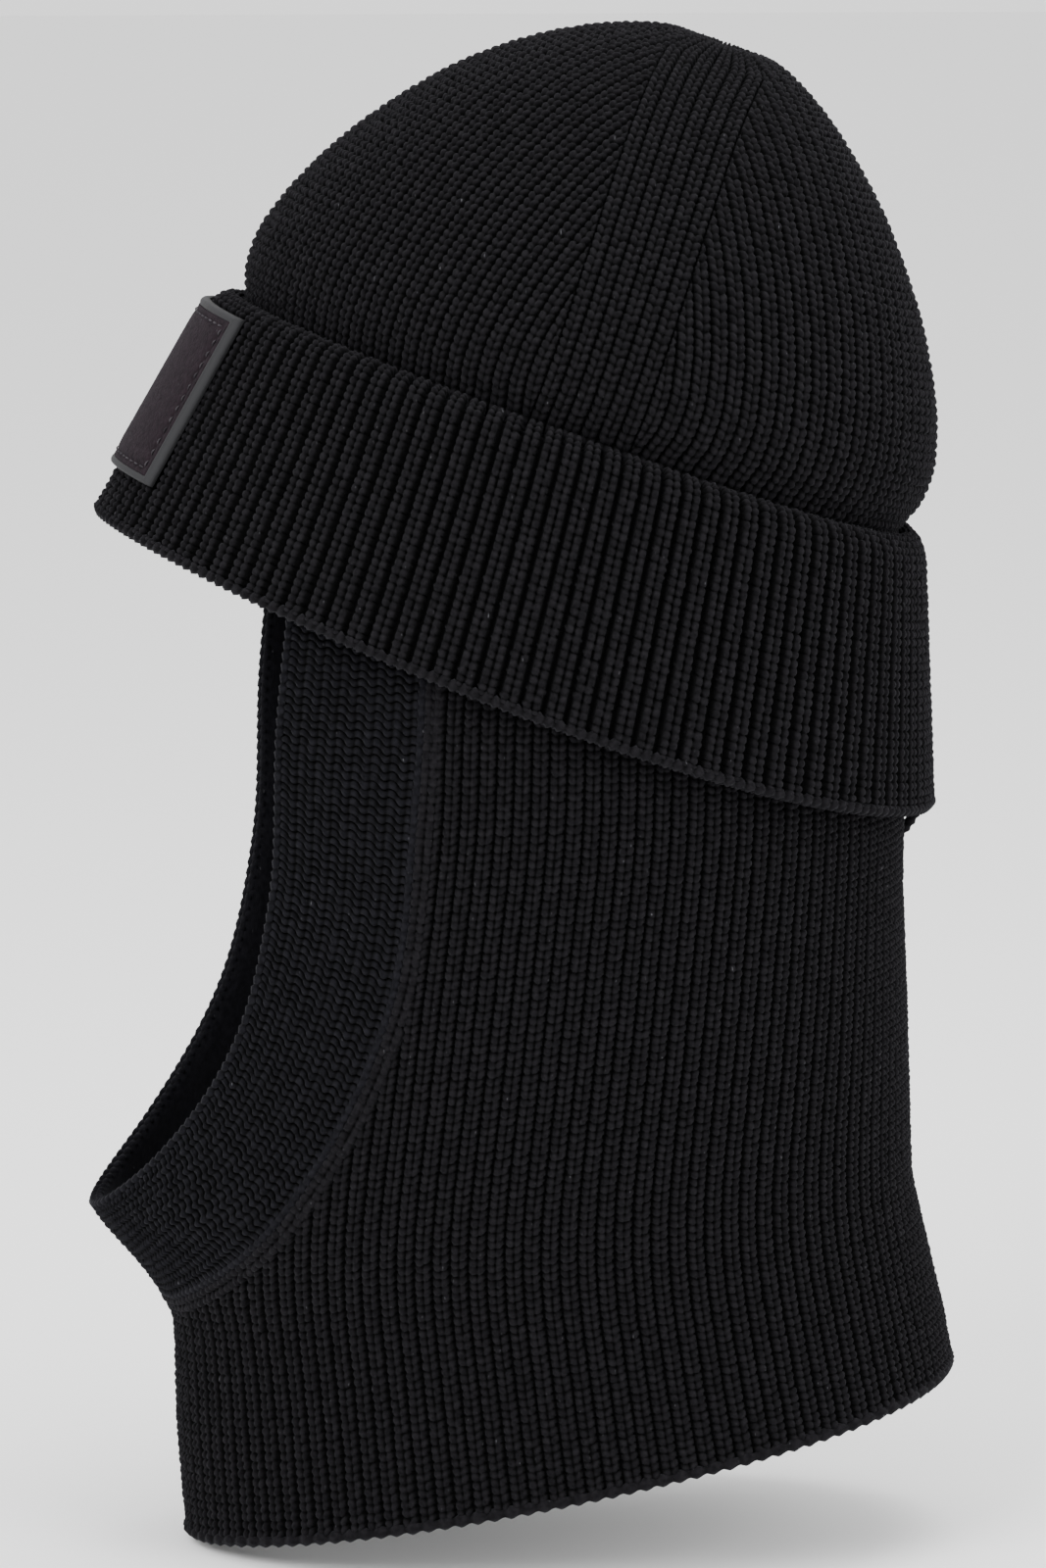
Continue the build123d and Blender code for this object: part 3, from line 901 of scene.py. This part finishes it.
def make_hem(skin, neck_v):
    """Cast-off chain at the hem, and the closing seam down the front of the neck."""
    paths = [ring_path(skin, 1.0, -1.2), ring_path(skin, 1.0, -2.9)]
    paths = [(points - [0, 0, 0.7], normals) for points, normals in paths]
    piece = ropes("hem_chain", paths, 1.7, 4.55, plump=0.36)
    settle(piece, RIB_YARN, "rib_yarn", "hem_cast_off")

    v = np.linspace(neck_v + 0.015, 0.995, 40)
    points, normals = skin.at(np.zeros(40), v)
    piece = ropes("neck_closing_seam", [(points - normals * 1.3, normals)], 1.0, 2.2)
    settle(piece, RIB_YARN, "rib_yarn", "neck_front_seam")


def ribbon_side(centre, normal, shift):
    """A path moved sideways over the surface; the hood's side of a seam is positive."""
    tangent = unit(np.gradient(centre, axis=0))
    return centre + unit(np.cross(normal, tangent)) * shift


def ribbon(name, centre, normal, shift, width, lift):
    """One wale of stitches along a path, moved sideways from it."""
    walked = distances(centre)
    courses = round(walked[-1] / 2.3)
    per_course = 4
    per_wale = 8
    even = np.linspace(0, walked[-1], courses * per_course + 1)
    middle = resample(even, walked, centre)
    lifted = unit(resample(even, walked, normal))
    sideways = unit(np.cross(lifted, unit(np.gradient(middle, axis=0))))
    (x, course), (xc, _) = grids(1, courses, per_wale, per_course)
    height = knit_height(x * 0.9999, -course, width, 2.3, 0.95, 2.6, 41) + lift
    reach = shift + (x - 0.5) * width
    outer = middle[:, None] + sideways[:, None] * reach[..., None] + lifted[:, None] * height[..., None]
    inner_reach = shift + (xc - 0.5) * width * 0.7
    base = middle[::per_course, None] + sideways[::per_course, None] * inner_reach[..., None]
    inner = base - lifted[::per_course, None] * 3.4
    return fabric(name, outer, inner, np.ones((courses, 1), bool), per_wale, per_course, height)


def make_band(skin, top_level, bottom_level):
    """Purl-faced band round the face opening, with its braided free edge."""
    edge_u, edge_v, edge_length = trace(skin, FREE_EDGE, top_level, bottom_level)
    seam_u, seam_v, seam_length = trace(skin, BAND_SEAM, top_level, bottom_level)
    half_courses = round(0.5 * (edge_length + seam_length) / BAND_COURSE)
    per_stitch = 7 * DETAIL
    per_course = 5 * DETAIL
    skipped = 8                  # courses at each end that would lie well above the rim
    courses = 2 * (half_courses - skipped)

    def lay(x, course):
        """(u, v) on the hood's skin at a place across and along the band."""
        along = 1 - np.abs(course / courses * 2 - 1) * (1 - skipped / half_courses)
        place = np.linspace(0, 1, len(edge_u))
        side = np.where(course <= courses / 2, 1.0, -1.0)
        share = x / BAND_STITCHES
        u = (1 - share) * np.interp(along, place, edge_u) + share * np.interp(along, place, seam_u)
        v = (1 - share) * np.interp(along, place, edge_v) + share * np.interp(along, place, seam_v)
        return side * u, v

    (x, course), (xc, cc) = grids(BAND_STITCHES, courses, per_stitch, per_course)
    points, normals = skin.at(*lay(x, course))
    height = purl_height(x, course, 51)
    dip = 0.9 * (np.clip(x - (BAND_STITCHES - 0.6), 0, 1) ** 2 + np.clip(0.6 - x, 0, 1) ** 2)
    outer = points + normals * (height - dip)[..., None]
    inner, inner_normals = skin.at(*lay(xc, cc))
    inner = inner - inner_normals * 3.6
    keep = height_in_hat(inner)[1:, 1:] < 4.6
    piece = fabric("band", outer, inner, keep, per_stitch, per_course, height)
    settle(piece, BAND_YARN, "band_yarn", "face_band")

    course = np.linspace(0, courses, 900)
    paths = []
    for lift in (-1.0, -2.6):
        points, normals = skin.at(*lay(np.full(900, 0.09), course))
        below = height_in_hat(points) < 4.0
        paths.append((points[below] + normals[below] * lift, normals[below]))
    piece = ropes("band_free_edge", paths, 1.25, 2.9, plump=0.5)
    settle(piece, BAND_YARN, "band_yarn", "face_band_edge")


# Patch, laid on the front of the cuff: x across, up along the hat's axis

PATCH_WIDTH = 60.0
PATCH_HEIGHT = 49.5
PATCH_BOTTOM = 13.0
BORDER = 2.2


def patch_surface(across, up, lift):
    """Points over the front of the cuff, at a height above it."""
    share = up / CUFF_HEIGHT
    half_length = CUFF_LENGTH / 2 + share * (CUFF_TOP_LENGTH - CUFF_LENGTH) / 2
    half_width = CUFF_WIDTH / 2 + share * (CUFF_TOP_WIDTH - CUFF_WIDTH) / 2
    length_reach = (half_length + lift) * (1 + WIDEST_SHIFT)
    round_off = (1 - (np.abs(across) / (half_width + lift)) ** FRONT_POWER) ** (1 / FRONT_POWER)
    middle = share * CUFF_TOP_CENTRE + half_length * WIDEST_SHIFT
    return hat_points(across, middle - length_reach * round_off, up)


def slab(name, half_x, half_up, columns, rows, top, bottom):
    """Closed thin plate on the cuff's front; top and bottom give the height at shares of its size."""
    x, up = np.meshgrid(np.linspace(-1, 1, columns), np.linspace(1, -1, rows))
    middle = PATCH_BOTTOM + PATCH_HEIGHT / 2
    outer = patch_surface(x * half_x, middle + up * half_up, top(x, up))
    inner = patch_surface(x * half_x, middle + up * half_up, bottom)
    return fabric(name, outer, inner, np.ones((rows - 1, columns - 1), bool), 1, 1)


def make_patch():
    """Rubber patch with its raised border, the felt laid in it and the stitches round the felt."""
    half_x = PATCH_WIDTH / 2
    half_up = PATCH_HEIGHT / 2

    def border_top(x, up):
        """Raised, rounded border with a shallow tray inside it."""
        edge = np.minimum((1 - np.abs(x)) * half_x, (1 - np.abs(up)) * half_up)
        rounded = np.sqrt(np.clip(1 - ((edge - BORDER / 2) / (BORDER / 2)) ** 2, 0, 1))
        return np.where(edge < BORDER, 1.2 + 0.8 * rounded, 0.9)

    piece = slab("patch_border", half_x, half_up, 241, 197, border_top, 0.1)
    settle(piece, RUBBER, "patch_rubber", "patch_backing")

    felt_x = half_x - BORDER + 0.2
    felt_up = half_up - BORDER + 0.2
    weave = np.random.default_rng(61).normal(0, 0.035, (128, 160))

    def felt_top(x, up):
        """Brushed surface, pressed down along the stitch line."""
        edge = np.minimum((1 - np.abs(x)) * felt_x, (1 - np.abs(up)) * felt_up)
        pressed = 0.28 * np.exp(-((edge - 1.8) / 0.55) ** 2)
        return 1.75 + 0.25 * np.clip(edge / 5, 0, 1) - pressed + weave

    felt = slab("patch_felt_face", felt_x, felt_up, 160, 128, felt_top, 1.0)
    settle(felt, FELT, "patch_felt", "patch_felt")

    make_patch_stitches(half_x - BORDER - 1.6, half_up - BORDER - 1.6)


def make_patch_stitches(line_x, line_up):
    """Row of stitches along each side of a rectangle on the felt, given by its half sizes."""
    paths = []
    middle = PATCH_BOTTOM + PATCH_HEIGHT / 2
    for half, offset, upright in ((line_x, line_up, False), (line_up, line_x, True)):
        count = int(2 * half / 3.0)
        pitch = 2 * half / count
        for index in range(count):
            place = (index + 0.5) * pitch - half + 0.12 * CHANCE.normal()
            span = place + np.linspace(-0.95, 0.95, 7)
            arch = 1.72 + 0.22 * np.sin(math.pi * np.linspace(0, 1, 7))
            for side in (-offset, offset):
                fixed = np.full(7, side)
                x = fixed if upright else span
                up = span if upright else fixed
                path = patch_surface(x, middle + up, arch)
                paths.append((path, np.tile(hat_points(0.0, -1.0, 0.0), (7, 1))))
    piece = ropes("patch_stitching", paths, 0.26, 0.8, plump=0.15, sides=6, per_link=3)
    settle(piece, THREAD, "patch_thread", "patch_stitches")


# Stage, light and camera

def make_stage():
    """Pale floor just under the hem, and an even white surround."""
    lowest = cad_box[0][2]
    bpy.ops.mesh.primitive_plane_add(size=14, location=(0, 0, lowest - 0.001))
    floor = bpy.context.object
    floor.name = "floor"
    material = bpy.data.materials.new("floor_look")
    material.use_nodes = True
    shader = material.node_tree.nodes["Principled BSDF"]
    socket(shader, "Base Color", (0.9, 0.9, 0.9, 1))
    socket(shader, "Roughness", 0.8)
    floor.data.materials.append(material)
    world = bpy.data.worlds.new("studio")
    bpy.context.scene.world = world
    world.use_nodes = True
    sky = world.node_tree.nodes["Background"]
    socket(sky, "Color", (1.0, 1.0, 1.0, 1))
    socket(sky, "Strength", 1.5)


def make_light(name, place, size, power):
    """Soft square lamp aimed at the garment."""
    data = bpy.data.lights.new(name, "AREA")
    data.size = size
    data.energy = power
    lamp = bpy.data.objects.new(name, data)
    lamp.location = place
    lamp.rotation_euler = (Vector((0, 0, -0.03)) - Vector(place)).to_track_quat("-Z", "Y").to_euler()
    bpy.context.scene.collection.objects.link(lamp)


def make_camera():
    """Level with the wearer's left side, a little from the front and above."""
    aim = Vector((0.0, 0.0022, -0.036))
    turn = math.radians(86.0)
    rise = math.radians(8.5)
    distance = 2.3
    place = aim + distance * Vector((
        math.sin(turn) * math.cos(rise),
        -math.cos(turn) * math.cos(rise),
        math.sin(rise),
    ))
    data = bpy.data.cameras.new("camera")
    data.sensor_width = 36.0
    data.lens = 36.0 * distance / 0.421
    camera = bpy.data.objects.new("camera", data)
    camera.location = place
    camera.rotation_euler = (aim - place).to_track_quat("-Z", "Y").to_euler()
    bpy.context.scene.collection.objects.link(camera)
    bpy.context.scene.camera = camera


make_camera()
make_stage()
make_light("key", (1.6, -1.2, 1.3), 1.2, 60.0)
make_light("fill", (1.5, 1.4, 0.6), 1.4, 30.0)
make_light("top", (0.1, 0.2, 1.8), 1.2, 30.0)

make_crown()
make_crown_lower()
make_gather()
make_cuff()
make_rim()
make_back_seams()
hood = make_hood()
make_band(*hood)
make_patch()
